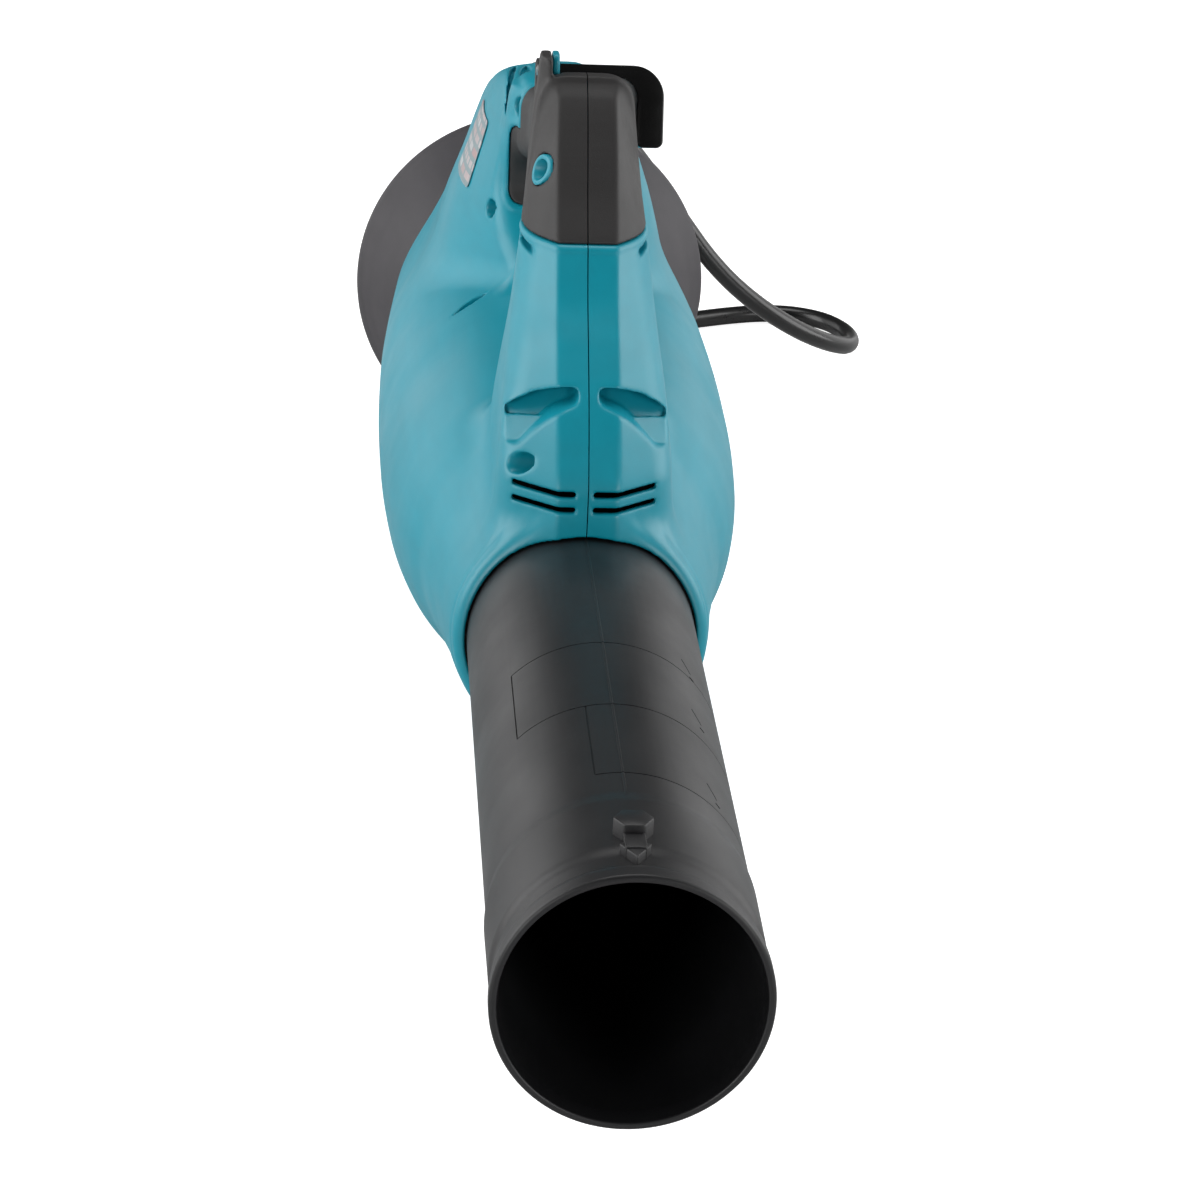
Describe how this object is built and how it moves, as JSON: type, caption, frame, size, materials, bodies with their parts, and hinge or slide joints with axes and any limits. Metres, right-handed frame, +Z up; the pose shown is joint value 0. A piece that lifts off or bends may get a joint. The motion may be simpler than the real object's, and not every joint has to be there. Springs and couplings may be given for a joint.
{
  "type": "leaf blower",
  "caption": "Hand-held axial leaf blower with a long round sliding nozzle, D-shaped top handle, fold-up hanging hook, flared rear air inlet and a heavy coiled supply cord ending in a connector.",
  "frame": {"origin": "centre of the footprint on the ground, under the middle of the machine's length", "axes": "-Y along the nozzle towards its tip, +Y towards the air inlet, +Z up, X across; the machine's right side is at -X"},
  "size_m": [0.2889, 0.9842, 0.2985],
  "materials": {
    "casing_teal": "satin moulded nylon",
    "soft_grip": "matte soft overmould",
    "nozzle_plastic": "satin moulded",
    "flare_plastic": "matte moulded",
    "gloss_black": "glossy moulded",
    "inner_plastic": "matte moulded",
    "rubber": "matte",
    "cord_rubber": "semi-gloss",
    "bright_steel": "machined",
    "screw_steel": "dark zinc",
    "aluminium": "die cast",
    "copper": "enamelled wire",
    "circuit_board": "coated laminate",
    "label": "printed film"
  },
  "bodies": {
    "root": {"right_housing": "casing_teal", "left_housing": "casing_teal", "right_grip_overmould": "soft_grip", "left_grip_overmould": "soft_grip", "housing_screw_front": "screw_steel", "housing_screw_strut": "screw_steel", "housing_screw_bottom_front": "screw_steel", "housing_screw_bottom_rear": "screw_steel", "housing_screw_tower_front": "screw_steel", "housing_screw_tower_rear": "screw_steel", "housing_screw_grip_rear": "screw_steel", "nozzle_seal_ring": "rubber", "nozzle_socket": "inner_plastic", "fan_shroud": "inner_plastic", "tail_cone": "inner_plastic", "front_isolator": "rubber", "rear_isolator": "rubber", "front_bearing": "bright_steel", "rear_bearing": "bright_steel", "motor_end_plate": "aluminium", "stator_core": "bright_steel", "front_winding": "copper", "rear_winding": "copper", "inlet_flare": "flare_plastic", "intake_guard": "inner_plastic", "trigger_pin": "bright_steel", "trigger_spring": "bright_steel", "switch_body": "inner_plastic", "hook_pin": "bright_steel", "controller_tray": "aluminium", "circuit_board": "circuit_board", "power_lead": "cord_rubber", "cord_clamp": "inner_plastic", "rating_plate": "label", "right_foot": "rubber", "left_foot": "rubber", "vent_baffle": "inner_plastic", "cord_gland": "cord_rubber", "cord_tube": "cord_rubber", "cord_coil": "cord_rubber", "cord_tail": "cord_rubber", "connector_body": "gloss_black", "connector_ring": "soft_grip"},
    "nozzle": {"nozzle_tube": "nozzle_plastic"},
    "fan": {"impeller": "inner_plastic", "impeller_nut": "bright_steel", "spinner_cap": "inner_plastic", "motor_shaft": "bright_steel", "motor_rotor": "bright_steel"},
    "trigger_body": {"trigger": "gloss_black"},
    "speed_control": {"speed_lever": "gloss_black"},
    "hook": {"hanging_hook": "gloss_black"}
  },
  "joints": [
    {"name": "nozzle_slide", "type": "slide", "parent": "root", "child": "nozzle", "axis": [0, 1, 0], "range_m": [0, 0.1]},
    {"name": "fan_spin", "type": "hinge", "parent": "root", "child": "fan", "pos_m": [0, 0.277, 0.087], "axis": [0, 1, 0], "continuous": true},
    {"name": "trigger_pull", "type": "hinge", "parent": "root", "child": "trigger_body", "pos_m": [0, 0.053, 0.2515], "axis": [1, 0, 0], "range_deg": [0, 12], "stiffness_Nm_per_rad": 0.1, "springref_deg": -17.19},
    {"name": "speed_lever_turn", "type": "hinge", "parent": "root", "child": "speed_control", "pos_m": [0.018, 0.113, 0.245], "axis": [1, 0, 0], "range_deg": [0, 55]},
    {"name": "hook_fold", "type": "hinge", "parent": "root", "child": "hook", "pos_m": [-0.014, 0.053, 0.28377], "axis": [0, -0.9659, 0.2588], "range_deg": [0, 95]}
  ]
}
